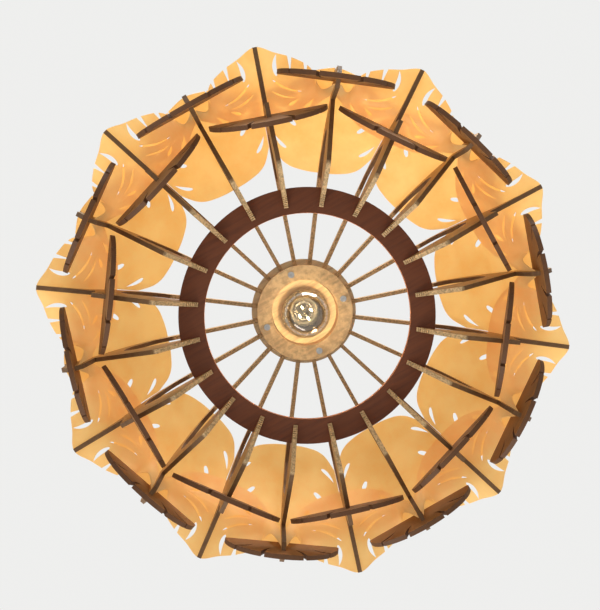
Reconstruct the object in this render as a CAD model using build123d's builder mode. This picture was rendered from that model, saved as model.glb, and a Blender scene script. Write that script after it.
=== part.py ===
"""A pendant lantern: twenty radial plywood ribs in a hub disc and a lower ring, two rows of ten thin
leaf-shaped shade petals, two rows of ten half-moon plates, and a lamp holder with a clear bulb.

Millimetres, +Z up. The ribs stand in planes through the Z axis: a main rib on +X and one each 36
degrees, with a side rib midway between each pair. The origin is on the axis, at the shoulder where
the free end of the hanging nipple starts, just over the holder's dome.
"""
import os
from math import atan2, cos, degrees, hypot, pi, radians, sin

from build123d import *

# Heights below are over the underside of the lower ring, and save() lowers them all by HANG
HANG = 150.0
RIB_PAIRS = 10
PAIR_ANGLE = 360 / RIB_PAIRS
HALF_ANGLE = PAIR_ANGLE / 2
PLY = 5.0
FIT = 0.05
BOND = 0.3

# Hub disc, lower ring and the collar under the arms
HUB_R, HUB_SLOT_R, HUB_HOLE_R, HUB_Z = 69.0, 58.0, 20.1, 96.0
RING_IN_R, RING_OUT_R, RING_SLOT_R = 120.5, 150.0, 139.5
COLLAR_R, COLLAR_IN_R, COLLAR_LAYERS, LAYER_TALL = 61.0, 42.0, 4, 6.0
BOLT_CIRCLE, BOLT_COUNT, BOLT_R, BOLT_HOLE_R, BOLT_HEAD_R, BOLT_HEAD_TALL = 51.5, 4, 2.0, 2.2, 4.0, 2.4
NUT_R, NUT_TALL = 3.9, 3.2

# Ribs, as radius and height in their own plane
ARM_IN_R, ARM_OUT_R, ARM_LOW_Z, ARM_TOP_Z = 46.0, 150.0, 89.0, 105.0
RIM_IN_R, RIM_LOW_Z, RIM_TOP_Z = 128.0, -1.5, 13.0
BAY_CORNERS, BAY_ROUND = [(224.0, 15.0), (224.0, 52.0), (196.0, 89.0)], 18.0
TOOTH_COUNT, TOOTH_PITCH, TOOTH_WIDE, TOOTH_DEEP = 6, 2.8, 1.2, 1.2
MAIN_SHOULDER, MAIN_KNEE, MAIN_FOOT = [(195.0, 99.0), (217.0, 87.0)], (169.0, -45.0), (241.0, -30.0)
MAIN_NOSE = [(286.0, -8.0), (262.0, -2.0), (247.0, 2.0), (244.0, -2.0)]
SIDE_KNEE = (171.0, -40.0)
SIDE_FANG = [(282.0, -3.0), (277.0, -34.0), (264.0, -47.0), (253.0, -36.0), (253.0, 10.0)]

# Petals: sections at an angle from the petal's own rib, each a path of radius and height, lobe to tip
SKIN = 0.8
HOLE_POINTS = 10
SAMPLES_ALONG, SAMPLES_ACROSS = 9, 13
MAIN_PETAL = [
    (0.0, [(237, 63), (248.5, 41), (257, 20), (270, 9), (288, -2), (307, -12.5)]),
    (4.0, [(238, 61.5), (249, 40), (257.5, 20), (270, 10), (286, 1), (301, -4)]),
    (8.0, [(240, 57), (250, 38), (258, 20), (269.5, 11), (282, 7), (296, 3)]),
    (12.0, [(246, 46), (252, 34), (258, 20.5), (267, 12.5), (276, 10), (286, 8)]),
    (14.5, [(253, 31), (255, 25), (257, 18), (258.5, 11), (259.5, 4), (259.5, -3)]),
    (17.3, [(257.5, 12), (257, 2), (256.5, -9), (256, -20), (255.5, -31), (255, -41)]),
]
SIDE_PETAL = [
    (0.0, [(184, 107), (213, 92), (239.5, 62.5), (256, 34), (270, 18), (287, 4.5)]),
    (4.0, [(184.5, 107), (213.5, 92), (240, 62.5), (256.5, 34), (271, 19), (285, 9)]),
    (8.0, [(187, 106), (214, 92), (240.5, 63), (257, 35), (270, 22), (282, 15)]),
    (12.0, [(192, 104), (216, 91.5), (241, 64), (257.5, 37), (268, 24), (278, 18)]),
    (15.0, [(201, 100), (219, 90), (241, 65), (257, 40), (266, 26), (275, 19)]),
    (17.3, [(217, 90.5), (228, 79), (241, 64.5), (252, 45), (261, 27), (270, 17)]),
]
# Holes pierced on each side of a petal's rib: round end, pointed end, width and bow to one side
MAIN_HOLES = [
    ((252, 6.5), (256, 9.2), 2.8, 0.4),
    ((248.5, 10.4), (256.5, 13.2), 4.0, 0.8),
    ((264, 2.3), (257.5, 9.5), 1.8, 2.4),
    ((275, 2.8), (262.5, 10.6), 2.4, 3.4),
    ((278, 3.9), (300, 4.4), 5.2, -2.4),
]
SIDE_HOLES = [
    ((214, 12.8), (230, 16.3), 4.2, 1.2),
    ((236, 9.4), (249, 12.6), 4.8, 0.7),
    ((252, 11.3), (267, 16.0), 4.0, 1.5),
    ((262, 8.6), (277, 7.4), 4.6, 1.2),
]
# Notches that part the petals' free edges into feathers: angle, inner radius, outer radius, width
MAIN_NOTCHES = [(7.2, 281, 302, 8.0), (10.8, 276, 294, 7.0), (13.2, 268, 288, 6.0)]
SIDE_NOTCHES = [(5.0, 278, 292, 5.0), (11.0, 272, 286, 5.0)]

# Half-moon plates: where the straight edge crosses the rib, and the lean of the lower edge inward
MOON_HALF, MOON_DROP, MOON_ROUND = 68.0, 62.0, 3.0
INNER_MOON_AT, INNER_MOON_LEAN, INNER_LAP = (230.5, -8.0), 19.5, 13.0
OUTER_MOON_AT, OUTER_MOON_LEAN, OUTER_LAP = (272.5, -1.0), 13.5, 24.0
MOON_CUTS = [((56, -36), (34, -24), 4.4, 3.0), ((24, -66), (14, -34), 4.4, -3.0)]

# Lamp holder, bulb and hanging nipple
SKIRT_R, SKIRT_IN_R, SKIRT_LOW_Z = 20.0, 18.8, 87.0
FLANGE_R, FLANGE_TALL, BODY_R, BODY_TOP_Z, DOME_R = 24.0, 3.0, 21.5, 142.0, 9.0
SHELL_R, SHELL_WALL, SHELL_LOW_Z, SHELL_TOP_Z = 14.2, 0.6, 104.0, 128.0
CORE_R, CORE_TOP_Z, TONGUE_R = 18.0, 139.0, 3.0
RING_NUT_R, RING_NUT_TALL, RING_NUT_GROOVES = 28.0, 8.0, 24
NIPPLE_R, NIPPLE_BORE_R, NIPPLE_FREE, NIPPLE_IN = 5.0, 3.8, 12.5, 9.0
NIPPLE_NECK_R, NECK_SHOWN = 4.6, 0.5
CAP_R, CAP_LOW_Z, CAP_TOP_Z, CAP_TIP_Z, THREADS, THREAD_DEEP = 13.1, 101.0, 124.0, 127.7, 5, 0.7
GLASS_LOW_Z, GLASS_WALL = 25.0, 0.9
GLASS_SIDE = [(12.9, 101.0), (14.6, 92.0), (18.4, 82.0), (25.0, 70.0), (29.6, 57.0), (28.6, 43.0), (19.5, 29.5)]
STEM_R, STEM_LOW_Z, FILAMENT_R, FILAMENT_LOW_Z, FILAMENT_TOP_Z, FILAMENT_CIRCLE = 3.0, 84.0, 0.9, 46.0, 80.0, 8.0

os.makedirs("parts", exist_ok=True)


def save(piece, name):
    """Lower a finished piece to the hanging origin, name it and write it."""
    moved = piece.moved(Location((0, 0, -HANG)))
    moved.label = name
    export_step(moved, f"parts/{name}.step")


def turned_copy(piece, angle):
    """A copy of a piece turned about the lantern's axis."""
    return piece.moved(Location((0, 0, 0), (0, 0, angle)))


def rib_plane(angle):
    """The plane through the axis at an angle, with radius as its x and height as its y."""
    turn = radians(angle)
    return Plane(origin=(0, 0, 0), x_dir=(cos(turn), sin(turn), 0), z_dir=(sin(turn), -cos(turn), 0))


def smooth(keys, count):
    """Points along a smooth curve through the keys, evenly spread over its spans."""
    found = []
    for i in range(count):
        place = i * (len(keys) - 1) / (count - 1)
        n = min(int(place), len(keys) - 2)
        t = place - n
        p0, p1, p2, p3 = keys[max(n - 1, 0)], keys[n], keys[n + 1], keys[min(n + 2, len(keys) - 1)]
        point = []
        for a, b, c, d in zip(p0, p1, p2, p3):
            bend = (2 * a - 5 * b + 4 * c - d) * t * t + (3 * b - a - 3 * c + d) * t ** 3
            point.append(b + ((c - a) * t + bend) / 2)
        found.append(tuple(point))
    return found


def offset_path(path, distance):
    """A path of points moved to the left of its way along, which is outward for a petal."""
    moved = []
    for i, (r, z) in enumerate(path):
        before, after = path[max(i - 1, 0)], path[min(i + 1, len(path) - 1)]
        dr, dz = after[0] - before[0], after[1] - before[1]
        moved.append((r - distance * dz / hypot(dr, dz), z + distance * dr / hypot(dr, dz)))
    return moved


def leaf_outline(round_end, point_end, width, bow):
    """A leaf-shaped outline from its round end to its pointed end, bowed to one side."""
    ax, ay = round_end
    run_x, run_y = point_end[0] - ax, point_end[1] - ay
    length = hypot(run_x, run_y)
    outline = []
    for i in range(HOLE_POINTS):
        t = 2 * pi * i / HOLE_POINTS
        along = (1 + cos(t)) / 2
        side = 0.62 * width * sin(t) * abs(sin(t / 2)) + bow * 4 * along * (1 - along)
        outline.append((ax + run_x * along - run_y / length * side, ay + run_y * along + run_x / length * side))
    return outline


def plan_point(radius, angle):
    """A point in plan from its radius and its angle."""
    return radius * cos(radians(angle)), radius * sin(radians(angle))


def rib(shoulder, petal_path, under, knee, lap):
    """One rib plate, its crown under a petal's rib line and a lap slot for a half-moon plate."""
    crown = offset_path(smooth(petal_path, SAMPLES_ALONG), -BOND)
    with BuildPart() as plate:
        with BuildSketch(Plane.XZ):
            with BuildLine():
                Polyline((ARM_IN_R, ARM_TOP_Z), (ARM_OUT_R, ARM_TOP_Z), *shoulder, crown[0])
                Spline(*crown)
                Polyline(crown[-1], *under, knee, (RIM_IN_R, RIM_LOW_Z), (RIM_IN_R, RIM_TOP_Z),
                         *BAY_CORNERS, (ARM_IN_R, ARM_LOW_Z), (ARM_IN_R, ARM_TOP_Z))
            make_face()
            bay = vertices().filter_by_position(Axis.X, BAY_CORNERS[2][0] - 0.5, BAY_CORNERS[0][0] + 0.5)
            fillet(bay.filter_by_position(Axis.Y, BAY_CORNERS[0][1] - 0.5, ARM_LOW_Z + 0.5), BAY_ROUND)
            with Locations((HUB_SLOT_R / 2, HUB_Z + PLY / 2)):
                Rectangle(HUB_SLOT_R + FIT * 2, PLY + FIT * 2, mode=Mode.SUBTRACT)
            with Locations((RING_SLOT_R / 2, PLY / 2)):
                Rectangle(RING_SLOT_R + FIT * 2, PLY + FIT * 2, mode=Mode.SUBTRACT)
            slope = degrees(atan2(knee[1] - RIM_LOW_Z, knee[0] - RIM_IN_R))
            for i in range(TOOTH_COUNT):
                step = 2.5 + TOOTH_PITCH * i
                spot = (RIM_IN_R + step * cos(radians(slope)), RIM_LOW_Z + step * sin(radians(slope)))
                with Locations(Location((*spot, 0), (0, 0, slope))):
                    Rectangle(TOOTH_WIDE, TOOTH_DEEP * 2, mode=Mode.SUBTRACT)
            at, lean, depth, reach = lap
            middle = depth + reach / 2
            spot = (at[0] - middle * sin(radians(lean)), at[1] - middle * cos(radians(lean)))
            with Locations(Location((*spot, 0), (0, 0, -lean))):
                Rectangle(PLY + FIT * 2, reach, mode=Mode.SUBTRACT)
        extrude(amount=PLY / 2, both=True)
    return plate.part


def petal(sections, holes, notches):
    """One petal, lofted through thin sections from one neighbour rib to the other, then pierced."""
    mirrored = [(-angle, path) for angle, path in sections[:0:-1]] + sections
    rows = []
    for k in range(len(sections[0][1])):
        rows.append(smooth([(*path[k], angle) for angle, path in mirrored], SAMPLES_ACROSS))
    wires = []
    for i in range(SAMPLES_ACROSS):
        path = smooth([(row[i][0], row[i][1]) for row in rows], SAMPLES_ALONG)
        skin = offset_path(path, SKIN)
        with BuildLine(rib_plane(rows[0][i][2])) as edge:
            Spline(*path)
            Line(path[-1], skin[-1])
            Spline(*skin[::-1])
            Line(skin[0], path[0])
        wires.append(edge.wires()[0])
    with BuildPart() as leaf:
        add(Solid.make_loft(wires, ruled=True))
        with BuildSketch(Plane.XY.offset(-60)):
            for side in (1, -1):
                for start, end, width, bow in holes:
                    a, b = plan_point(start[0], side * start[1]), plan_point(end[0], side * end[1])
                    with BuildLine():
                        Polyline(*leaf_outline(a, b, width, side * bow), close=True)
                    make_face()
                for angle, low, high, width in notches:
                    spread = degrees(width / high) / 2
                    tip = plan_point(low, side * angle)
                    wide = [plan_point(high + 6, side * (angle + k * spread)) for k in (1, -1)]
                    with BuildLine():
                        Polyline(tip, *wide, close=True)
                    make_face()
        extrude(amount=200, mode=Mode.SUBTRACT)
    return leaf.part


def half_moon(lap):
    """One half-moon plate in its own plane: straight edge on top, feathered round edge, lap slot."""
    with BuildPart() as plate:
        with BuildSketch(Plane.XY):
            with BuildLine():
                chord = Line((-MOON_HALF, 0), (MOON_HALF, 0))
                ThreePointArc(chord @ 1, (0, -MOON_DROP), chord @ 0)
            make_face()
            fillet(vertices(), MOON_ROUND)
            with Locations((0, -lap / 2)):
                Rectangle(PLY + FIT * 2, lap + FIT * 2, mode=Mode.SUBTRACT)
            for side in (1, -1):
                for mouth, end, width, bow in MOON_CUTS:
                    with BuildLine():
                        Polyline(*leaf_outline((side * mouth[0], mouth[1]), (side * end[0], end[1]), width,
                                               side * bow), close=True)
                    make_face(mode=Mode.SUBTRACT)
        extrude(amount=PLY / 2, both=True)
    return plate.part


def moon_row(at, lean, lap, first):
    """A row of ten half-moon plates, one across each rib of a kind, as one group."""
    flat = half_moon(lap)
    tilt = radians(lean)
    seat = Plane(origin=(at[0], 0, at[1]), x_dir=(0, 1, 0), z_dir=(cos(tilt), 0, -sin(tilt)))
    plate = flat.moved(seat.location)
    return Compound(children=[turned_copy(plate, first + PAIR_ANGLE * i) for i in range(RIB_PAIRS)])


def slotted_disc(outer, inner, slot_from, low):
    """A plywood disc with twenty slots open at its rim, one for each rib."""
    with BuildPart() as disc:
        with BuildSketch(Plane.XY.offset(low)):
            Circle(outer)
            Circle(inner, mode=Mode.SUBTRACT)
            with PolarLocations((slot_from + outer) / 2 + 1, RIB_PAIRS * 2):
                Rectangle(outer - slot_from + 2, PLY + FIT * 2, mode=Mode.SUBTRACT)
        extrude(amount=PLY)
    return disc.part


def turned(outline):
    """A turned part from its half section, as radius and height points."""
    with BuildPart() as body:
        with BuildSketch(Plane.XZ):
            with BuildLine():
                Polyline(*outline, close=True)
            make_face()
        revolve(axis=Axis.Z)
    return body.part


# Hub disc, with holes for the collar bolts
with BuildPart() as hub:
    add(slotted_disc(HUB_R, HUB_HOLE_R, HUB_SLOT_R, HUB_Z))
    with Locations(Plane.XY.offset(HUB_Z + PLY)):
        with PolarLocations(BOLT_CIRCLE, BOLT_COUNT, start_angle=HALF_ANGLE / 2):
            Hole(BOLT_HOLE_R)
save(hub.part, "hub_disc")

# Lower ring
save(slotted_disc(RING_OUT_R, RING_IN_R, RING_SLOT_R, 0), "lower_ring")

# Collar of stacked rings, clamped under the arms
for i in range(COLLAR_LAYERS):
    with BuildPart() as layer:
        with BuildSketch(Plane.XY.offset(ARM_LOW_Z - LAYER_TALL * (i + 1))):
            Circle(COLLAR_R)
            Circle(COLLAR_IN_R, mode=Mode.SUBTRACT)
            with PolarLocations(BOLT_CIRCLE, BOLT_COUNT, start_angle=HALF_ANGLE / 2):
                Circle(BOLT_HOLE_R, mode=Mode.SUBTRACT)
        extrude(amount=LAYER_TALL)
        chamfer(layer.edges().filter_by(GeomType.CIRCLE).group_by(SortBy.RADIUS)[-1], 0.6)
    save(layer.part, f"collar_ring_{i + 1}")

# Bolts up through the collar, and the nuts on the hub disc
collar_low = ARM_LOW_Z - LAYER_TALL * COLLAR_LAYERS
with BuildPart() as bolts:
    with BuildSketch(Plane.XY.offset(collar_low - BOLT_HEAD_TALL)):
        with PolarLocations(BOLT_CIRCLE, BOLT_COUNT, start_angle=HALF_ANGLE / 2):
            Circle(BOLT_HEAD_R)
    extrude(amount=BOLT_HEAD_TALL)
    with BuildSketch(Plane.XY.offset(collar_low)):
        with PolarLocations(BOLT_CIRCLE, BOLT_COUNT, start_angle=HALF_ANGLE / 2):
            Circle(BOLT_R)
    extrude(amount=HUB_Z + PLY + NUT_TALL + 1 - collar_low)
    with BuildSketch(Plane.XY.offset(collar_low - BOLT_HEAD_TALL)):
        with PolarLocations(BOLT_CIRCLE, BOLT_COUNT, start_angle=HALF_ANGLE / 2):
            RegularPolygon(1.4, 6)
    extrude(amount=1.6, mode=Mode.SUBTRACT)
save(bolts.part, "collar_bolts")
with BuildPart() as nuts:
    with BuildSketch(Plane.XY.offset(HUB_Z + PLY)):
        with PolarLocations(BOLT_CIRCLE, BOLT_COUNT, start_angle=HALF_ANGLE / 2):
            RegularPolygon(NUT_R, 6)
            Circle(BOLT_R, mode=Mode.SUBTRACT)
    extrude(amount=NUT_TALL)
save(nuts.part, "collar_nuts")

# Ribs
main_plate = rib(MAIN_SHOULDER, MAIN_PETAL[0][1], MAIN_NOSE + [MAIN_FOOT], MAIN_KNEE,
                 (INNER_MOON_AT, INNER_MOON_LEAN, INNER_LAP, 30))
side_plate = rib([], SIDE_PETAL[0][1], SIDE_FANG, SIDE_KNEE,
                 (OUTER_MOON_AT, OUTER_MOON_LEAN, OUTER_LAP, 40))
for i in range(RIB_PAIRS):
    save(turned_copy(main_plate, PAIR_ANGLE * i), f"main_rib_{i + 1:02d}")
    save(turned_copy(side_plate, HALF_ANGLE + PAIR_ANGLE * i), f"side_rib_{i + 1:02d}")

# Shade petals
main_leaf = petal(MAIN_PETAL, MAIN_HOLES, MAIN_NOTCHES)
side_leaf = petal(SIDE_PETAL, SIDE_HOLES, SIDE_NOTCHES)
for i in range(RIB_PAIRS):
    save(turned_copy(main_leaf, PAIR_ANGLE * i), f"lower_petal_{i + 1:02d}")
    save(turned_copy(side_leaf, HALF_ANGLE + PAIR_ANGLE * i), f"upper_petal_{i + 1:02d}")

# Half-moon plates
save(moon_row(INNER_MOON_AT, INNER_MOON_LEAN, INNER_LAP, 0), "inner_half_moons")
save(moon_row(OUTER_MOON_AT, OUTER_MOON_LEAN, OUTER_LAP, HALF_ANGLE), "outer_half_moons")

# Lamp holder: outer body, inner core with the screw shell, and the ring that clamps it to the hub
hub_top = HUB_Z + PLY
body_in = BODY_R - 1.2
holder = turned([(SKIRT_IN_R, SKIRT_LOW_Z), (SKIRT_R, SKIRT_LOW_Z), (SKIRT_R, hub_top), (FLANGE_R, hub_top),
                 (FLANGE_R, hub_top + FLANGE_TALL), (BODY_R, hub_top + FLANGE_TALL), (BODY_R, BODY_TOP_Z),
                 (DOME_R, HANG - NECK_SHOWN), (NIPPLE_NECK_R, HANG - NECK_SHOWN), (NIPPLE_NECK_R, HANG - 2.5), (DOME_R - 1, HANG - 2.5),
                 (body_in - 1, BODY_TOP_Z - 1.5), (body_in - 1, SHELL_LOW_Z + 2), (SKIRT_IN_R, SHELL_LOW_Z)])
save(holder, "holder_body")
core = turned([(SHELL_R + 0.8, SHELL_LOW_Z), (CORE_R, SHELL_LOW_Z), (CORE_R, CORE_TOP_Z), (0, CORE_TOP_Z),
               (0, SHELL_TOP_Z + 3), (SHELL_R + 0.8, SHELL_TOP_Z + 3)])
save(core, "holder_core")
shell = turned([(SHELL_R, SHELL_LOW_Z + 1), (SHELL_R + SHELL_WALL, SHELL_LOW_Z + 1),
                (SHELL_R + SHELL_WALL, SHELL_TOP_Z), (SHELL_R, SHELL_TOP_Z)])
with BuildPart() as contacts:
    add(shell)
    with Locations((0, 0, SHELL_TOP_Z + 1.5)):
        Cylinder(TONGUE_R, 3)
    with Locations((SHELL_R, 0, SHELL_TOP_Z + 1.5)):
        Box(1.2, 4, 3)
save(contacts.part, "holder_contacts")
with BuildPart() as shade_ring:
    with BuildSketch(Plane.XY.offset(HUB_Z - RING_NUT_TALL)):
        Circle(RING_NUT_R)
        Circle(SKIRT_R + FIT, mode=Mode.SUBTRACT)
        with PolarLocations(RING_NUT_R, RING_NUT_GROOVES):
            Circle(0.9, mode=Mode.SUBTRACT)
    extrude(amount=RING_NUT_TALL - 0.1)
save(shade_ring.part, "clamp_ring")

# Hanging nipple
with BuildPart() as nipple:
    with BuildSketch(Plane.XY.offset(HANG - NIPPLE_IN)):
        Circle(NIPPLE_NECK_R)
        Circle(NIPPLE_BORE_R, mode=Mode.SUBTRACT)
    extrude(amount=NIPPLE_IN)
    with BuildSketch(Plane.XY.offset(HANG)):
        Circle(NIPPLE_R)
        Circle(NIPPLE_BORE_R, mode=Mode.SUBTRACT)
    extrude(amount=NIPPLE_FREE)
    chamfer(nipple.faces().sort_by(Axis.Z)[-1].outer_wire().edges(), 0.5)
save(nipple.part, "hanging_nipple")

# Bulb: clear glass, screw cap with its tip contact, and the stem with four bright filaments
glass_out = smooth(GLASS_SIDE + [(0.0, GLASS_LOW_Z)], 40)
glass_in = [(max(r - GLASS_WALL, 0), z) for r, z in glass_out[:-1]] + [(0.0, GLASS_LOW_Z + GLASS_WALL)]
save(turned(glass_out + glass_in[::-1]), "bulb_glass")
cap_outline = [(CAP_R - 1, CAP_LOW_Z), (CAP_R, CAP_LOW_Z)]
thread_pitch = (CAP_TOP_Z - CAP_LOW_Z - 4) / THREADS
for i in range(THREADS):
    low = CAP_LOW_Z + 3 + thread_pitch * i
    cap_outline += [(CAP_R - THREAD_DEEP, low), (CAP_R, low + thread_pitch / 2)]
cap_outline += [(CAP_R - 1.5, CAP_TOP_Z), (4.5, CAP_TOP_Z + 2), (3.6, CAP_TIP_Z), (0, CAP_TIP_Z)]
cap_outline += [(0, CAP_TOP_Z), (CAP_R - 3, CAP_TOP_Z - 2), (CAP_R - 3, CAP_LOW_Z + 2), (CAP_R - 1, CAP_LOW_Z + 2)]
save(turned(cap_outline), "bulb_cap")
with BuildPart() as stem:
    with Locations((0, 0, STEM_LOW_Z)):
        Cone(STEM_R, 11.5, 18, align=(Align.CENTER, Align.CENTER, Align.MIN))
    with Locations((0, 0, FILAMENT_LOW_Z - 2)):
        Cylinder(1.0, STEM_LOW_Z - FILAMENT_LOW_Z + 2, align=(Align.CENTER, Align.CENTER, Align.MIN))
    for height in (FILAMENT_LOW_Z - 1, FILAMENT_TOP_Z):
        with Locations((0, 0, height)):
            Box(FILAMENT_CIRCLE * 2, 0.8, 1.0)
            Box(0.8, FILAMENT_CIRCLE * 2, 1.0)
save(stem.part, "bulb_stem")
with BuildPart() as filaments:
    with Locations((0, 0, FILAMENT_LOW_Z)):
        with PolarLocations(FILAMENT_CIRCLE, 4):
            Cylinder(FILAMENT_R, FILAMENT_TOP_Z - FILAMENT_LOW_Z - 0.6,
                     align=(Align.CENTER, Align.CENTER, Align.MIN))
save(filaments.part, "bulb_filaments")
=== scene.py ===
"""A plywood pendant lantern with amber petals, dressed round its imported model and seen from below."""
from math import cos, hypot, pi, radians, sin

import bmesh
import bpy
from bpy.props import FloatProperty, FloatVectorProperty, IntProperty, PointerProperty
from mathutils import Matrix, Vector


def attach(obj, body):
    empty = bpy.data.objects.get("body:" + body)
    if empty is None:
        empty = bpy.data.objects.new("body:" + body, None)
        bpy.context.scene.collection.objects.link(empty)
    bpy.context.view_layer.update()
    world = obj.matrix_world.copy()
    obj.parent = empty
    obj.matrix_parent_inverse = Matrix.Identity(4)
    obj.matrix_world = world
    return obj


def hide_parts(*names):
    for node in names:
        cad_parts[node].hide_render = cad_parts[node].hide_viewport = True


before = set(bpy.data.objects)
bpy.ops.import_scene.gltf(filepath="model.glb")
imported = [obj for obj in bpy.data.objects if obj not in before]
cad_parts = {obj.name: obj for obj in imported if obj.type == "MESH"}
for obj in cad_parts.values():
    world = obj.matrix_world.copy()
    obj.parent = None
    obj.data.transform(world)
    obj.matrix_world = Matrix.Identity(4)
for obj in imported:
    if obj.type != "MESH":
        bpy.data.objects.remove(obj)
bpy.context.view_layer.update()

bl_info = {
    "name": "Plywood petal lantern",
    "version": (1, 0, 0),
    "blender": (4, 5, 0),
    "location": "3D View > Sidebar > Lantern",
    "description": "Dresses the lantern's ribs, rings, petals, half moons, lamp holder and bulb",
    "category": "Object",
}

# Millimetres over the underside of the lower ring; HANG is the hanging point's height there
MM = 0.001
HANG = 150.0
RIBS = 20
PAIR = radians(36)
HALF = radians(18)

# Petal surfaces: an angle from the petal's rib, and a path of radius and height from lobe to tip
LOWER_PETAL = [
    (0.0, [(237, 63), (248.5, 41), (257, 20), (270, 9), (288, -2), (307, -12.5)]),
    (4.0, [(238, 61.5), (249, 40), (257.5, 20), (270, 10), (286, 1), (301, -4)]),
    (8.0, [(240, 57), (250, 38), (258, 20), (269.5, 11), (282, 7), (296, 3)]),
    (12.0, [(246, 46), (252, 34), (258, 20.5), (267, 12.5), (276, 10), (286, 8)]),
    (14.5, [(253, 31), (255, 25), (257, 18), (258.5, 11), (259.5, 4), (259.5, -3)]),
    (17.3, [(257.5, 12), (257, 2), (256.5, -9), (256, -20), (255.5, -31), (255, -41)]),
]
UPPER_PETAL = [
    (0.0, [(184, 107), (213, 92), (239.5, 62.5), (256, 34), (270, 18), (287, 4.5)]),
    (4.0, [(184.5, 107), (213.5, 92), (240, 62.5), (256.5, 34), (271, 19), (285, 9)]),
    (8.0, [(187, 106), (214, 92), (240.5, 63), (257, 35), (270, 22), (282, 15)]),
    (12.0, [(192, 104), (216, 91.5), (241, 64), (257.5, 37), (268, 24), (278, 18)]),
    (15.0, [(201, 100), (219, 90), (241, 65), (257, 40), (266, 26), (275, 19)]),
    (17.3, [(217, 90.5), (228, 79), (241, 64.5), (252, 45), (261, 27), (270, 17)]),
]
# Pierced leaf shapes beside the rib: round end, pointed end, width and bow
LOWER_HOLES = [
    ((252, 6.5), (256, 9.2), 2.8, 0.4),
    ((248.5, 10.4), (256.5, 13.2), 4.0, 0.8),
    ((264, 2.3), (257.5, 9.5), 1.8, 2.4),
    ((275, 2.8), (262.5, 10.6), 2.4, 3.4),
    ((278, 3.9), (300, 4.4), 5.2, -2.4),
]
UPPER_HOLES = [
    ((214, 12.8), (230, 16.3), 4.2, 1.2),
    ((236, 9.4), (249, 12.6), 4.8, 0.7),
    ((252, 11.3), (267, 16.0), 4.0, 1.5),
    ((262, 8.6), (277, 7.4), 4.6, 1.2),
]
# Notches between the feathers of the free edge: angle, inner radius, outer radius and width
LOWER_NOTCHES = [(7.2, 281, 302, 8.0), (10.8, 276, 294, 7.0), (13.2, 268, 288, 6.0)]
UPPER_NOTCHES = [(5.0, 278, 292, 5.0), (11.0, 272, 286, 5.0)]


# Hanging nipple, as heights from its foot to its top: the neck ends at HANG
NIPPLE_FOOT_Z, NIPPLE_TOP_Z, NIPPLE_IN_R, NIPPLE_NECK_R = 141.0, 162.5, 3.8, 4.55
THREAD_FROM_Z, THREAD_STEP, THREAD_DEEP, THREAD_POINTS = 150.3, 0.5, 0.42, 24
# Bulb: the glass from its neck to its crown, the screw cap's wall and thread, and the filaments
GLASS_SIDE = [(12.9, 101), (14.6, 92), (18.4, 82), (25, 70), (29.6, 57), (28.6, 43), (19.5, 29.5), (0, 25)]
CAP_R, CAP_LOW_Z, SCREW_FROM_Z, SCREW_PITCH, SCREW_TURNS, SCREW_DEEP = 12.4, 101.0, 103.0, 3.6, 5.0, 0.65
CAP_CROWN = [(11.2, 124.4), (4.5, 126.0), (3.6, 127.7), (0.0, 127.7), (0.0, 124.0), (9.8, 122.0),
             (9.8, 103.0)]
FILAMENTS, FILAMENT_CIRCLE, FILAMENT_LOW_Z, FILAMENT_TOP_Z, FILAMENT_STEPS = 4, 8.0, 46.0, 79.4, 12
BULB_MIDDLE_Z = 62.0
# Stage, in metres, degrees and watts
FLOOR_SIZE, FLOOR_Z = 14.0, -1.25
AIM = Vector((0, 0, -0.12))
LAMPS = (("key_lamp", (1.1, -1.3, 1.0), 1.4, 12.0), ("fill_lamp", (-1.2, 0.9, -0.9), 1.2, 4.0))
LAMP_SPREAD = radians(80)
CAMERA_PLACE, CAMERA_TURN = (-0.00801, -0.07015, -0.8446), (176.455, 2.6206, 29.400)
SENSOR, LENS = 36.0, 35.41


class LanternSizes(bpy.types.PropertyGroup):
    """Sizes of the pieces that are made here."""
    skin: FloatProperty(name="Petal skin", description="Thickness of the petal sheet",
                        default=0.0008, unit="LENGTH")
    glass_wall: FloatProperty(name="Glass wall", description="Thickness of the bulb's glass",
                              default=0.0009, unit="LENGTH")
    filament: FloatProperty(name="Filament radius", description="Radius of one lit filament",
                            default=0.00085, unit="LENGTH")
    turns: IntProperty(name="Lathe steps", description="Steps round each turned piece", default=96, min=24)


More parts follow.
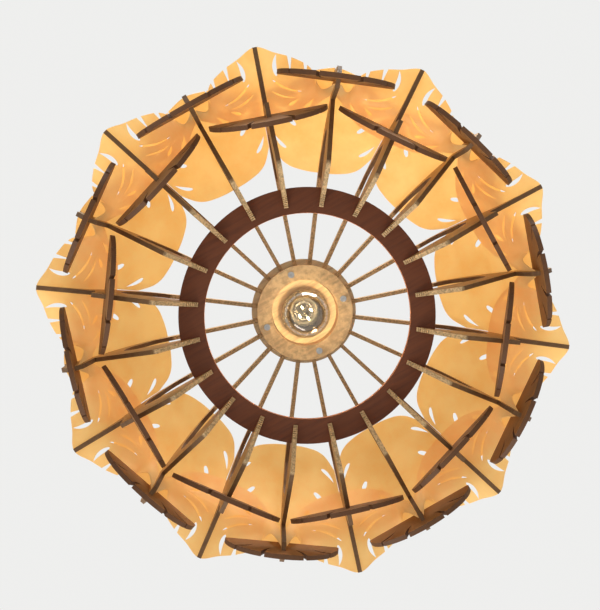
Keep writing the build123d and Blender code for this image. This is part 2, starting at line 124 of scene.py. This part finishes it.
class LanternColours(bpy.types.PropertyGroup):
    """Colours of the finishes."""
    petal: FloatVectorProperty(name="Petal", description="Amber sheet", subtype="COLOR", size=3,
                               default=(0.98, 0.74, 0.37), min=0, max=1)
    petal_deep: FloatVectorProperty(name="Petal mottle", description="Deeper amber in the sheet",
                                    subtype="COLOR", size=3, default=(0.93, 0.63, 0.25), min=0, max=1)
    rib: FloatVectorProperty(name="Rib wood", description="Plywood face of the ribs", subtype="COLOR",
                             size=3, default=(0.62, 0.39, 0.16), min=0, max=1)
    # Painted shade: the half moons are coloured much darker than the rib plywood, standing in for the shade
    # they hang in.
    moon: FloatVectorProperty(name="Half-moon wood", description="Plywood face of the half moons",
                              subtype="COLOR", size=3, default=(0.36, 0.165, 0.055), min=0, max=1)
    ring: FloatVectorProperty(name="Ring wood", description="Stained lower ring", subtype="COLOR", size=3,
                              default=(0.17, 0.048, 0.016), min=0, max=1)
    hub: FloatVectorProperty(name="Hub wood", description="Hub disc", subtype="COLOR", size=3,
                             default=(0.92, 0.76, 0.49), min=0, max=1)
    collar: FloatVectorProperty(name="Collar wood", description="Stacked collar", subtype="COLOR", size=3,
                                default=(0.74, 0.49, 0.25), min=0, max=1)
    # Painted light: the pale cut edge colour stands in for the bulb's light on the rib edges towards the
    # ring.
    cut: FloatVectorProperty(name="Pale cut edge", description="Rib edges towards the ring", subtype="COLOR",
                             size=3, default=(0.74, 0.51, 0.26), min=0, max=1)
    char: FloatVectorProperty(name="Scorch", description="Laser-scorched edges", subtype="COLOR", size=3,
                              default=(0.035, 0.014, 0.006), min=0, max=1)
    glow: FloatVectorProperty(name="Glow", description="Light of the filaments", subtype="COLOR", size=3,
                              default=(1.0, 0.62, 0.24), min=0, max=1)


# Plywood, in metres: waves of the grain along and across a face, the thickness of a layer, and the
# radius out to which the cut edges of the ribs are painted pale, as if lit by the bulb, with the width of the
# change
GRAIN_ALONG, GRAIN_ACROSS = 14.0, 210.0
LAYER = 0.00125
BULB_LIT_EDGE_REACH, BULB_LIT_EDGE_FADE = 0.172, 0.004

# Materials

class Shader:
    """A material and short ways to add and join its nodes."""

    def __init__(self, name):
        self.material = bpy.data.materials.new(name)
        self.material.use_nodes = True
        self.tree = self.material.node_tree
        self.tree.nodes.clear()
        self.out = self.tree.nodes.new("ShaderNodeOutputMaterial")
        self.spot = self.add("ShaderNodeTexCoord").outputs

    def add(self, kind, inputs=None, **settings):
        node = self.tree.nodes.new(kind)
        for key, value in settings.items():
            setattr(node, key, value)
        for key, value in (inputs or {}).items():
            if isinstance(value, bpy.types.NodeSocket):
                self.tree.links.new(value, node.inputs[key])
            else:
                node.inputs[key].default_value = value
        return node

    def math(self, operation, a, b=0.0):
        return self.add("ShaderNodeMath", {0: a, 1: b}, operation=operation).outputs[0]

    def noise(self, vector, scale, detail=4.0, rough=0.55):
        return self.add("ShaderNodeTexNoise", {"Vector": vector, "Scale": scale, "Detail": detail,
                                               "Roughness": rough}).outputs["Fac"]

    def stretched(self, vector, factors):
        return self.add("ShaderNodeMapping", {"Vector": vector, "Scale": factors}).outputs[0]

    def ramp(self, fac, stops):
        node = self.add("ShaderNodeValToRGB", {"Fac": fac})
        elements = node.color_ramp.elements
        for i, (place, colour) in enumerate(stops):
            element = elements[i] if i < 2 else elements.new(place)
            element.position = place
            element.color = (*colour, 1.0)
        return node.outputs["Color"]

    def blend(self, fac, a, b):
        node = self.add("ShaderNodeMix", {"Factor": fac}, data_type="RGBA")
        for key, value in (("A", a), ("B", b)):
            socket = [s for s in node.inputs if s.name == key and s.type == "RGBA"][0]
            if isinstance(value, bpy.types.NodeSocket):
                self.tree.links.new(value, socket)
            else:
                socket.default_value = (*value, 1.0)
        return [s for s in node.outputs if s.type == "RGBA"][0]

    def bump(self, height, strength, distance):
        return self.add("ShaderNodeBump", {"Height": height, "Strength": strength,
                                           "Distance": distance}).outputs["Normal"]

    def surface(self, inputs):
        return self.add("ShaderNodeBsdfPrincipled", inputs)

    def finish(self, shader):
        self.tree.links.new(shader.outputs[0], self.out.inputs["Surface"])
        return self.material


def shade(colour, k):
    """A colour made k times as bright."""
    return tuple(min(1.0, c * k) for c in colour)


def wood_frame(s, kind):
    """How squarely a point lies on a plywood face, its depth through the layers, its grain and its radius."""
    place = s.add("ShaderNodeSeparateXYZ", {0: s.spot["Object"]}).outputs
    normal = s.add("ShaderNodeSeparateXYZ", {0: s.spot["Normal"]}).outputs
    squares = s.math("ADD", s.math("POWER", place[0], 2.0), s.math("POWER", place[1], 2.0))
    radius = s.math("SQRT", squares)
    if kind == "disc":
        facing, depth = s.math("ABSOLUTE", normal[2]), place[2]
        along, across, third = place[0], place[1], 0.0
    else:
        angle = s.math("ARCTAN2", place[1], place[0])
        around = s.math("SUBTRACT", s.math("MULTIPLY", normal[1], place[0]),
                        s.math("MULTIPLY", normal[0], place[1]))
        tangent = s.math("ABSOLUTE", s.math("DIVIDE", around, radius))
        snapped = s.math("MULTIPLY", s.math("ROUND", s.math("DIVIDE", angle, HALF)), HALF)
        off_plane = s.math("MULTIPLY", radius, s.math("SINE", s.math("SUBTRACT", angle, snapped)))
        across = place[2]
        if kind == "rib":
            facing, depth, along, third = tangent, off_plane, radius, snapped
        else:
            upright = s.math("ADD", s.math("POWER", normal[2], 2.0), s.math("POWER", tangent, 2.0))
            outward = s.math("SUBTRACT", 1.0, s.math("ABSOLUTE", upright))
            facing, depth = s.math("GREATER_THAN", outward, 0.55), radius
            along, third = off_plane, s.math("MULTIPLY", snapped, 7.0)
    grain = s.add("ShaderNodeCombineXYZ", {0: s.math("MULTIPLY", along, GRAIN_ALONG),
                                           1: s.math("MULTIPLY", across, GRAIN_ACROSS), 2: third})
    return facing, depth, grain.outputs[0], radius


def plywood(name, colour, kind, scorch, mottle=0.0, pale=None):
    """Plywood: grain on the faces, scorched layers on the cut edges. kind is rib, disc or moon.

    pale is the colour of the rib cut edges towards the ring, inside the reach set above: painted light, paler
    where the bulb lights them, with flecks for their comb of small teeth.
    """
    s = Shader(name)
    place = s.spot["Object"]
    facing, depth, grain, radius = wood_frame(s, kind)
    fine = s.noise(grain, 1.0, 6.0, 0.6)
    broad = s.noise(place, 22.0, 3.0)
    face = s.ramp(fine, [(0.28, shade(colour, 0.62)), (0.72, shade(colour, 1.22)), (0.5, colour)])
    face = s.blend(s.math("MULTIPLY", broad, 0.35), face, shade(colour, 0.6))
    if mottle:
        spots = s.ramp(s.noise(place, 90.0, 5.0, 0.7), [(0.42, (0, 0, 0)), (0.60, (1, 1, 1))])
        spots = s.math("MULTIPLY", spots, mottle)
        face = s.blend(spots, face, shade(colour, 1.45))
    layers = s.math("ABSOLUTE", s.math("SINE", s.math("MULTIPLY", depth, pi / LAYER)))
    burnt = s.noise(place, 160.0, 4.0, 0.7)
    edge = s.blend(layers, shade(scorch, 1.2), shade(scorch, 4.2))
    edge = s.blend(s.math("MULTIPLY", burnt, 0.45), edge, shade(colour, 0.7))
    # Painted light: inside the reach, the rib cut edges are painted pale as if lit by the bulb, with flecks
    # for their comb of small teeth.
    if pale:
        teeth = s.noise(s.stretched(place, (1.0, 1.0, 0.4)), 420.0, 3.0, 0.8)
        speckled_painted_light = s.ramp(teeth, [(0.40, shade(pale, 0.50)), (0.58, pale)])
        bulb_lit_edge_mask = s.add("ShaderNodeMapRange", {0: radius, 1: BULB_LIT_EDGE_REACH, 2: BULB_LIT_EDGE_REACH + BULB_LIT_EDGE_FADE,
                                               3: 1.0, 4: 0.0})
        edge = s.blend(bulb_lit_edge_mask.outputs[0], edge, speckled_painted_light)
    is_face = s.add("ShaderNodeMapRange", {0: facing, 1: 0.45, 2: 0.7})
    mixed = s.blend(is_face.outputs[0], edge, face)
    rough = s.add("ShaderNodeMapRange", {0: fine, 3: 0.48, 4: 0.72}).outputs[0]
    height = s.math("ADD", fine, s.math("MULTIPLY", layers, 0.3))
    return s.finish(s.surface({"Base Color": mixed, "Roughness": rough, "Specular IOR Level": 0.35,
                               "Normal": s.bump(height, 0.25, 0.0006)}))


def amber_sheet_with_painted_glow(name, colours):
    """Thin translucent amber sheet with faint fibres and clouds."""
    s = Shader(name)
    place = s.spot["Object"]
    clouds = s.noise(place, 26.0, 5.0, 0.6)
    fibres = s.noise(s.stretched(place, (160.0, 160.0, 24.0)), 1.0, 5.0, 0.65)
    base = s.ramp(clouds, [(0.30, tuple(colours.petal_deep)), (0.62, tuple(colours.petal))])
    base = s.blend(s.math("MULTIPLY", fibres, 0.30), base, shade(tuple(colours.petal), 1.18))
    specks = s.ramp(s.noise(place, 260.0, 3.0, 0.7), [(0.66, (0, 0, 0)), (0.74, (1, 1, 1))])
    base = s.blend(s.math("MULTIPLY", specks, 0.35), base, tuple(colours.petal_deep))
    normal = s.bump(fibres, 0.18, 0.0004)
    rough = s.add("ShaderNodeMapRange", {0: fibres, 3: 0.38, 4: 0.6}).outputs[0]
    # Painted light: the sheet's emission is a faint painted glow, standing in for the bulb's light shining
    # through the amber.
    skin = s.surface({"Base Color": base, "Roughness": rough, "Specular IOR Level": 0.4, "Normal": normal,
                      "Emission Color": base, "Emission Strength": 0.20})
    through = s.add("ShaderNodeBsdfTranslucent", {"Color": base, "Normal": normal})
    mix = s.add("ShaderNodeMixShader", {0: 0.5, 1: skin.outputs[0], 2: through.outputs[0]})
    return s.finish(mix)


def metal(name, colour, rough, scratch=0.1):
    """Brushed metal with a little wear."""
    s = Shader(name)
    place = s.spot["Object"]
    brush = s.noise(s.stretched(place, (60.0, 60.0, 1400.0)), 1.0, 4.0)
    wear = s.noise(place, 180.0, 5.0)
    base = s.ramp(wear, [(0.3, shade(colour, 0.72)), (0.7, shade(colour, 1.1))])
    r = s.add("ShaderNodeMapRange", {0: brush, 3: rough - scratch, 4: rough + scratch}).outputs[0]
    return s.finish(s.surface({"Base Color": base, "Metallic": 1.0, "Roughness": r,
                               "Normal": s.bump(brush, 0.12, 0.0002)}))


def moulding(name, colour, rough):
    """Moulded plastic or fired clay with fine grain and dust."""
    s = Shader(name)
    place = s.spot["Object"]
    grain = s.noise(place, 900.0, 3.0)
    dust = s.noise(place, 60.0, 4.0)
    base = s.ramp(dust, [(0.35, colour), (0.75, shade(colour, 1.7))])
    r = s.add("ShaderNodeMapRange", {0: dust, 3: rough, 4: rough + 0.2}).outputs[0]
    return s.finish(s.surface({"Base Color": base, "Roughness": r, "Normal": s.bump(grain, 0.15, 0.0001)}))


def clear_glass(name, tint):
    """Thin clear glass: see-through in front, glossy towards its rim."""
    s = Shader(name)
    streaks = s.noise(s.stretched(s.spot["Object"], (40.0, 40.0, 12.0)), 1.0, 3.0)
    normal = s.bump(streaks, 0.06, 0.0005)
    rim = s.add("ShaderNodeLayerWeight", {"Blend": 0.28, "Normal": normal}).outputs["Facing"]
    shine = s.add("ShaderNodeBsdfGlossy", {"Color": (1.0, 0.98, 0.94, 1.0), "Roughness": 0.03,
                                           "Normal": normal})
    clear = s.add("ShaderNodeBsdfTransparent", {"Color": (*tint, 1.0)})
    fac = s.add("ShaderNodeMapRange", {0: rim, 3: 0.06, 4: 0.62}).outputs[0]
    return s.finish(s.add("ShaderNodeMixShader", {0: fac, 1: clear.outputs[0], 2: shine.outputs[0]}))


def glowing(name, colour):
    """Lit filament."""
    s = Shader(name)
    beads = s.noise(s.stretched(s.spot["Object"], (300.0, 300.0, 900.0)), 1.0, 2.0)
    light = s.ramp(beads, [(0.2, shade(colour, 0.9)), (0.8, (1.0, 0.86, 0.6))])
    return s.finish(s.surface({"Base Color": light, "Roughness": 0.5, "Emission Color": light,
                               "Emission Strength": 45.0}))


# Meshes

def smooth(keys, count):
    """Points along a smooth curve through the keys, evenly spread over its spans."""
    found = []
    for i in range(count):
        place = i * (len(keys) - 1) / (count - 1)
        n = min(int(place), len(keys) - 2)
        t = place - n
        p0, p1, p2, p3 = keys[max(n - 1, 0)], keys[n], keys[n + 1], keys[min(n + 2, len(keys) - 1)]
        found.append(tuple(b + ((c - a) * t + (2 * a - 5 * b + 4 * c - d) * t * t
                                + (3 * b - a - 3 * c + d) * t ** 3) / 2
                           for a, b, c, d in zip(p0, p1, p2, p3)))
    return found


def at(radius, angle, height):
    """A point in metres in the lantern's frame from millimetres and radians."""
    return Vector((radius * cos(angle) * MM, radius * sin(angle) * MM, (height - HANG) * MM))


def keep(mesh, name, material, body, slot, *nodes):
    """Puts a mesh in the scene as a piece on a body, in place of its CAD nodes."""
    piece = bpy.data.objects.new(name, mesh)
    bpy.context.scene.collection.objects.link(piece)
    mesh.materials.clear()
    mesh.materials.append(material)
    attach(piece, body)
    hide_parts(*nodes)
    return piece


def mesh_of(points, faces, name):
    """A smooth-shaded mesh with its doubles joined and its normals outward."""
    mesh = bpy.data.meshes.new(name)
    mesh.from_pydata([tuple(p) for p in points], [], faces)
    mesh.validate()
    bm = bmesh.new()
    bm.from_mesh(mesh)
    bmesh.ops.remove_doubles(bm, verts=bm.verts, dist=1e-6)
    bmesh.ops.recalc_face_normals(bm, faces=bm.faces)
    bm.to_mesh(mesh)
    bm.free()
    mesh.shade_smooth()
    return mesh


def lathe(outline, steps, name, wave=None):
    """A turned mesh from a closed outline of radius and height in millimetres."""
    count = len(outline)
    points = []
    for i in range(steps):
        angle = 2 * pi * i / steps
        for r, z in outline:
            points.append(at(r + (wave(r, z, angle) if wave else 0.0), angle, z))
    faces = []
    for i in range(steps):
        j = (i + 1) % steps
        for k in range(count):
            m = (k + 1) % count
            faces.append((i * count + k, j * count + k, j * count + m, i * count + m))
    return mesh_of(points, faces, name)


def leaf_outline(a, b, width, bow, count=28):
    """A leaf-shaped plan outline from its round end to its pointed end, in millimetres."""
    run = (b[0] - a[0], b[1] - a[1])
    length = hypot(*run)
    outline = []
    for i in range(count):
        t = 2 * pi * i / count
        along = (1 + cos(t)) / 2
        side = 0.62 * width * sin(t) * abs(sin(t / 2)) + bow * 4 * along * (1 - along)
        outline.append((a[0] + run[0] * along - run[1] / length * side,
                        a[1] + run[1] * along + run[0] / length * side))
    return outline


def plan(radius, angle):
    """A plan point from a radius and degrees."""
    return radius * cos(radians(angle)), radius * sin(radians(angle))


def prism(outline, low=-60.0, high=140.0):
    """Points in metres and faces of an upright prism on a plan outline in millimetres."""
    count = len(outline)
    points = [(x * MM, y * MM, (z - HANG) * MM) for z in (low, high) for x, y in outline]
    faces = [tuple(range(count))[::-1], tuple(range(count, 2 * count))]
    faces += [(i, (i + 1) % count, (i + 1) % count + count, i + count) for i in range(count)]
    return points, faces


def petal_mesh(name, keys, holes, notches, skin):
    """One petal: a smooth sheet with its holes and feather notches cut through."""
    rows_across, rows_along = 57, 41
    mirrored = [(-angle, path) for angle, path in keys[:0:-1]] + keys
    rows = [smooth([(*path[k], angle) for angle, path in mirrored], rows_across)
            for k in range(len(keys[0][1]))]
    sheet = []
    for i in range(rows_across):
        path = smooth([(row[i][0], row[i][1]) for row in rows], rows_along)
        sheet.append((radians(rows[0][i][2]), path))
    points, faces = [], []
    for side in (0.0, skin / MM):
        for angle, path in sheet:
            for k, (r, z) in enumerate(path):
                before, after = path[max(k - 1, 0)], path[min(k + 1, rows_along - 1)]
                dr, dz = after[0] - before[0], after[1] - before[1]
                points.append(at(r - side * dz / hypot(dr, dz), angle, z + side * dr / hypot(dr, dz)))
    top = rows_across * rows_along
    for i in range(rows_across - 1):
        for k in range(rows_along - 1):
            a, b = i * rows_along + k, (i + 1) * rows_along + k
            faces.append((a, a + 1, b + 1, b))
            faces.append((top + a, top + b, top + b + 1, top + a + 1))
    for i in range(rows_across - 1):
        for k in (0, rows_along - 1):
            a, b = i * rows_along + k, (i + 1) * rows_along + k
            faces.append((a, b, top + b, top + a))
    for k in range(rows_along - 1):
        for i in (0, rows_across - 1):
            a = i * rows_along + k
            faces.append((a, a + 1, top + a + 1, top + a))
    blank = bpy.data.objects.new(name + "_blank", mesh_of(points, faces, name + "_blank"))
    cut_points, cut_faces = [], []
    for side in (1, -1):
        outlines = [leaf_outline(plan(s[0], side * s[1]), plan(e[0], side * e[1]), w, side * bow)
                    for s, e, w, bow in holes]
        for angle, low, high, width in notches:
            spread = width / high * 90 / pi
            outlines.append([plan(low, side * angle), plan(high + 6, side * (angle - spread)),
                             plan(high + 6, side * (angle + spread))][::side])
        for outline in outlines:
            p, f = prism(outline)
            cut_faces += [tuple(v + len(cut_points) for v in face) for face in f]
            cut_points += p
    cutter = bpy.data.objects.new(name + "_cutter", mesh_of(cut_points, cut_faces, name + "_cutter"))
    for thing in (blank, cutter):
        bpy.context.scene.collection.objects.link(thing)
    cut = blank.modifiers.new("holes", "BOOLEAN")
    cut.object, cut.operation, cut.solver = cutter, "DIFFERENCE", "EXACT"
    bpy.context.view_layer.update()
    ready = bpy.data.meshes.new_from_object(blank.evaluated_get(bpy.context.evaluated_depsgraph_get()))
    ready.name = name
    for thing in (blank, cutter):
        bpy.data.objects.remove(thing)
    bm = bmesh.new()
    bm.from_mesh(ready)
    for edge in bm.edges:
        edge.smooth = len(edge.link_faces) == 2 and edge.calc_face_angle(0.0) < radians(35)
    bm.to_mesh(ready)
    bm.free()
    return ready


def paint(names, material):
    """Gives CAD nodes a material."""
    for name in names:
        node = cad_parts[name]
        node.data.materials.clear()
        node.data.materials.append(material)


def numbered(stem):
    """The names of the ten nodes of one row."""
    return [f"{stem}_{i + 1:02d}" for i in range(RIBS // 2)]


# Stage

def pale_floor():
    """A plain pale floor that keeps the lantern's shadow and shows paler to the camera."""
    bpy.ops.mesh.primitive_plane_add(size=FLOOR_SIZE, location=(0, 0, FLOOR_Z))
    floor = bpy.context.object
    floor.name = "floor"
    s = Shader("floor_paint")
    cloud = s.noise(s.spot["Object"], 3.0, 4.0)
    pale = s.ramp(cloud, [(0.3, (0.80, 0.80, 0.79)), (0.7, (0.84, 0.84, 0.83))])
    seen = s.math("MULTIPLY", s.add("ShaderNodeLightPath").outputs["Is Camera Ray"], 0.30)
    floor.data.materials.append(s.finish(s.surface({"Base Color": pale, "Roughness": 0.85,
                                                    "Emission Color": pale, "Emission Strength": seen})))


def pale_world(scene):
    """Soft light all round, with a pale background behind the lantern, its metal and its glass."""
    world = scene.world or bpy.data.worlds.new("surroundings")
    scene.world = world
    world.use_nodes = True
    nodes, join = world.node_tree.nodes, world.node_tree.links.new
    nodes.clear()
    lit, seen = nodes.new("ShaderNodeBackground"), nodes.new("ShaderNodeBackground")
    lit.inputs["Color"].default_value = (1.0, 0.98, 0.95, 1.0)
    lit.inputs["Strength"].default_value = 0.55
    seen.inputs["Color"].default_value = (0.86, 0.86, 0.85, 1.0)
    rays = nodes.new("ShaderNodeLightPath").outputs
    any_ray = rays["Is Camera Ray"]
    for key in ("Is Glossy Ray", "Is Transmission Ray"):
        most = nodes.new("ShaderNodeMath")
        most.operation = "MAXIMUM"
        join(any_ray, most.inputs[0])
        join(rays[key], most.inputs[1])
        any_ray = most.outputs[0]
    pick, out = nodes.new("ShaderNodeMixShader"), nodes.new("ShaderNodeOutputWorld")
    join(any_ray, pick.inputs[0])
    join(lit.outputs[0], pick.inputs[1])
    join(seen.outputs[0], pick.inputs[2])
    join(pick.outputs[0], out.inputs["Surface"])


def studio_lamps(scene):
    """Two soft lamps aimed at the lantern."""
    for name, spot, size, power in LAMPS:
        lamp = bpy.data.lights.new(name, "AREA")
        lamp.size, lamp.energy, lamp.spread = size, power, LAMP_SPREAD
        holder = bpy.data.objects.new(name, lamp)
        holder.location = spot
        holder.rotation_euler = (AIM - Vector(spot)).to_track_quat("-Z", "Y").to_euler()
        scene.collection.objects.link(holder)


def bulb_light(scene):
    """The faint warm light of the lit bulb on the collar and the rib edges round it."""
    light = bpy.data.lights.new("bulb_light", "POINT")
    light.energy, light.color, light.shadow_soft_size = 0.18, (1.0, 0.80, 0.52), 0.012
    inside = bpy.data.objects.new("bulb_light", light)
    inside.location = (0.0, 0.0, (BULB_MIDDLE_Z - HANG) * MM)
    inside.visible_camera = inside.visible_glossy = False
    scene.collection.objects.link(inside)


def camera_below(scene):
    """The camera at the photograph's viewing angle, under the lantern."""
    lens = bpy.data.cameras.new("view_from_below")
    lens.sensor_width, lens.lens = SENSOR, LENS
    camera = bpy.data.objects.new("view_from_below", lens)
    camera.location = CAMERA_PLACE
    camera.rotation_euler = [radians(angle) for angle in CAMERA_TURN]
    scene.collection.objects.link(camera)
    scene.camera = camera


# Operators

class LANTERN_OT_woodwork(bpy.types.Operator):
    """Finishes the plywood ribs, rings, hub disc, collar and half moons"""
    bl_idname = "lantern.woodwork"
    bl_label = "Woodwork"

    def execute(self, context):
        c = context.scene.lantern_colours
        scorch = tuple(c.char)
        # The rib cut edges towards the ring are painted with bulb light in the pale colour.
        paint(numbered("main_rib") + numbered("side_rib"), plywood("rib_wood_and_painted_edge_light", tuple(c.rib), "rib", scorch,
                                                                  pale=tuple(c.cut)))
        # The half moons' darker plywood colour is painted shade.
        paint(["inner_half_moons", "outer_half_moons"], plywood("moon_wood_in_painted_shade", tuple(c.moon), "moon", scorch))
        paint(["lower_ring"], plywood("ring_wood", tuple(c.ring), "disc", shade(scorch, 7)))
        paint(["hub_disc"], plywood("hub_wood", tuple(c.hub), "disc", shade(scorch, 6)))
        collar = plywood("collar_wood", tuple(c.collar), "disc", scorch, mottle=0.8)
        paint([f"collar_ring_{i + 1}" for i in range(4)], collar)
        return {"FINISHED"}


class LANTERN_OT_petals(bpy.types.Operator):
    """Makes the two rows of pierced amber petals"""
    bl_idname = "lantern.petals"
    bl_label = "Petals"

    def execute(self, context):
        skin = context.scene.lantern_sizes.skin
        amber = amber_sheet_with_painted_glow("amber_sheet_with_painted_glow", context.scene.lantern_colours)
        rows = (("lower_petal", LOWER_PETAL, LOWER_HOLES, LOWER_NOTCHES, 0.0),
                ("upper_petal", UPPER_PETAL, UPPER_HOLES, UPPER_NOTCHES, HALF))
        for stem, keys, holes, notches, first in rows:
            mesh = petal_mesh(stem + "_sheet", keys, holes, notches, skin)
            if len(mesh.polygons) < 2000:
                raise RuntimeError("the petal lost its sheet when its holes were cut")
            for i, node in enumerate(numbered(stem)):
                turned = mesh.copy()
                turned.transform(Matrix.Rotation(first + PAIR * i, 4, "Z"))
                keep(turned, node + "_leaf", amber, "lantern", "petal_film", node)
        return {"FINISHED"}


class LANTERN_OT_fittings(bpy.types.Operator):
    """Finishes the bolts, nuts, lamp holder, clamp ring and hanging nipple"""
    bl_idname = "lantern.fittings"
    bl_label = "Fittings"

    def execute(self, context):
        steps = context.scene.lantern_sizes.turns
        steel = metal("zinc_steel", (0.58, 0.57, 0.55), 0.32)
        black = moulding("black_moulding", (0.022, 0.020, 0.018), 0.3)
        paint(["collar_bolts", "collar_nuts"], steel)
        paint(["clamp_ring", "holder_body"], black)
        paint(["holder_core"], moulding("fired_clay", (0.62, 0.58, 0.51), 0.6))
        paint(["holder_contacts"], metal("contact_brass", (0.72, 0.50, 0.20), 0.3))
        thread = [(NIPPLE_NECK_R + THREAD_DEEP * (i % 2), THREAD_FROM_Z + THREAD_STEP * i)
                  for i in range(THREAD_POINTS)]
        outline = [(NIPPLE_IN_R, NIPPLE_FOOT_Z), (NIPPLE_NECK_R, NIPPLE_FOOT_Z), (NIPPLE_NECK_R, HANG),
                   *thread, (4.5, NIPPLE_TOP_Z), (NIPPLE_IN_R, NIPPLE_TOP_Z)]
        keep(lathe(outline, steps, "nipple_thread"), "nipple_thread", steel, "lantern", "nipple_steel",
             "hanging_nipple")
        return {"FINISHED"}


class LANTERN_OT_bulb(bpy.types.Operator):
    """Makes the clear bulb with its screw cap, stem and lit filaments"""
    bl_idname = "lantern.bulb"
    bl_label = "Bulb"

    def execute(self, context):
        sizes, c = context.scene.lantern_sizes, context.scene.lantern_colours
        wall = sizes.glass_wall / MM
        outside = smooth(GLASS_SIDE, 120)
        inside = [(max(r - wall, 0.0), z) for r, z in outside[:-1]] + [(0.0, GLASS_SIDE[-1][1] + wall)]
        keep(lathe(outside + inside[::-1], sizes.turns, "bulb_globe"), "bulb_globe",
             clear_glass("bulb_clear", (0.98, 0.97, 0.94)), "bulb", "bulb_glass", "bulb_glass")
        grooves = [(CAP_R, CAP_LOW_Z + 0.45 * i) for i in range(51)]
        outline = [(CAP_R - 1.0, CAP_LOW_Z)] + grooves + CAP_CROWN

        def thread(r, z, angle):
            if r != CAP_R or not SCREW_FROM_Z < z < SCREW_FROM_Z + SCREW_PITCH * SCREW_TURNS:
                return 0.0
            return SCREW_DEEP * sin(2 * pi * (z / SCREW_PITCH) - angle)

        keep(lathe(outline, sizes.turns, "bulb_screw_cap", thread), "bulb_screw_cap",
             metal("cap_metal", (0.74, 0.72, 0.69), 0.28), "bulb", "bulb_cap_metal", "bulb_cap")
        paint(["bulb_stem"], clear_glass("stem_clear", (0.93, 0.92, 0.88)))
        glow = glowing("filament_light", tuple(c.glow))
        points, faces = [], []
        wide = sizes.filament / MM
        side = [(0.0, FILAMENT_LOW_Z), (wide, FILAMENT_LOW_Z + 0.4), (wide, FILAMENT_TOP_Z - 0.4),
                (0.0, FILAMENT_TOP_Z)]
        for i in range(FILAMENTS):
            rod = lathe(side, FILAMENT_STEPS, "rod")
            angle = 2 * pi * i / FILAMENTS
            shift = Vector((FILAMENT_CIRCLE * cos(angle), FILAMENT_CIRCLE * sin(angle), 0.0)) * MM
            faces += [tuple(v + len(points) for v in face.vertices) for face in rod.polygons]
            points += [v.co + shift for v in rod.vertices]
            bpy.data.meshes.remove(rod)
        keep(mesh_of(points, faces, "lit_filaments"), "lit_filaments", glow, "bulb", "filament_glow",
             "bulb_filaments")
        return {"FINISHED"}


class LANTERN_OT_stage(bpy.types.Operator):
    """Sets the floor, the pale surroundings, the lamps and the camera under the lantern"""
    bl_idname = "lantern.stage"
    bl_label = "Stage"

    def execute(self, context):
        pale_floor()
        for setting in (pale_world, studio_lamps, bulb_light, camera_below):
            setting(context.scene)
        context.scene.view_settings.view_transform = "Standard"
        return {"FINISHED"}


class LANTERN_PT_panel(bpy.types.Panel):
    """The lantern's pieces, sizes and colours"""
    bl_label = "Lantern"
    bl_idname = "LANTERN_PT_panel"
    bl_space_type = "VIEW_3D"
    bl_region_type = "UI"
    bl_category = "Lantern"

    def draw(self, context):
        for operator in OPERATORS:
            self.layout.operator(operator.bl_idname)
        for group in (context.scene.lantern_sizes, context.scene.lantern_colours):
            for key in group.__annotations__:
                self.layout.prop(group, key)


OPERATORS = (LANTERN_OT_woodwork, LANTERN_OT_petals, LANTERN_OT_fittings, LANTERN_OT_bulb, LANTERN_OT_stage)
CLASSES = (LanternSizes, LanternColours, *OPERATORS, LANTERN_PT_panel)


def register():
    for item in CLASSES:
        bpy.utils.register_class(item)
    bpy.types.Scene.lantern_sizes = PointerProperty(type=LanternSizes)
    bpy.types.Scene.lantern_colours = PointerProperty(type=LanternColours)


def unregister():
    del bpy.types.Scene.lantern_sizes
    del bpy.types.Scene.lantern_colours
    for item in reversed(CLASSES):
        bpy.utils.unregister_class(item)


def main():
    register()
    bpy.ops.lantern.woodwork()
    bpy.ops.lantern.petals()
    bpy.ops.lantern.fittings()
    bpy.ops.lantern.bulb()
    bpy.ops.lantern.stage()


if __name__ == "__main__":
    main()
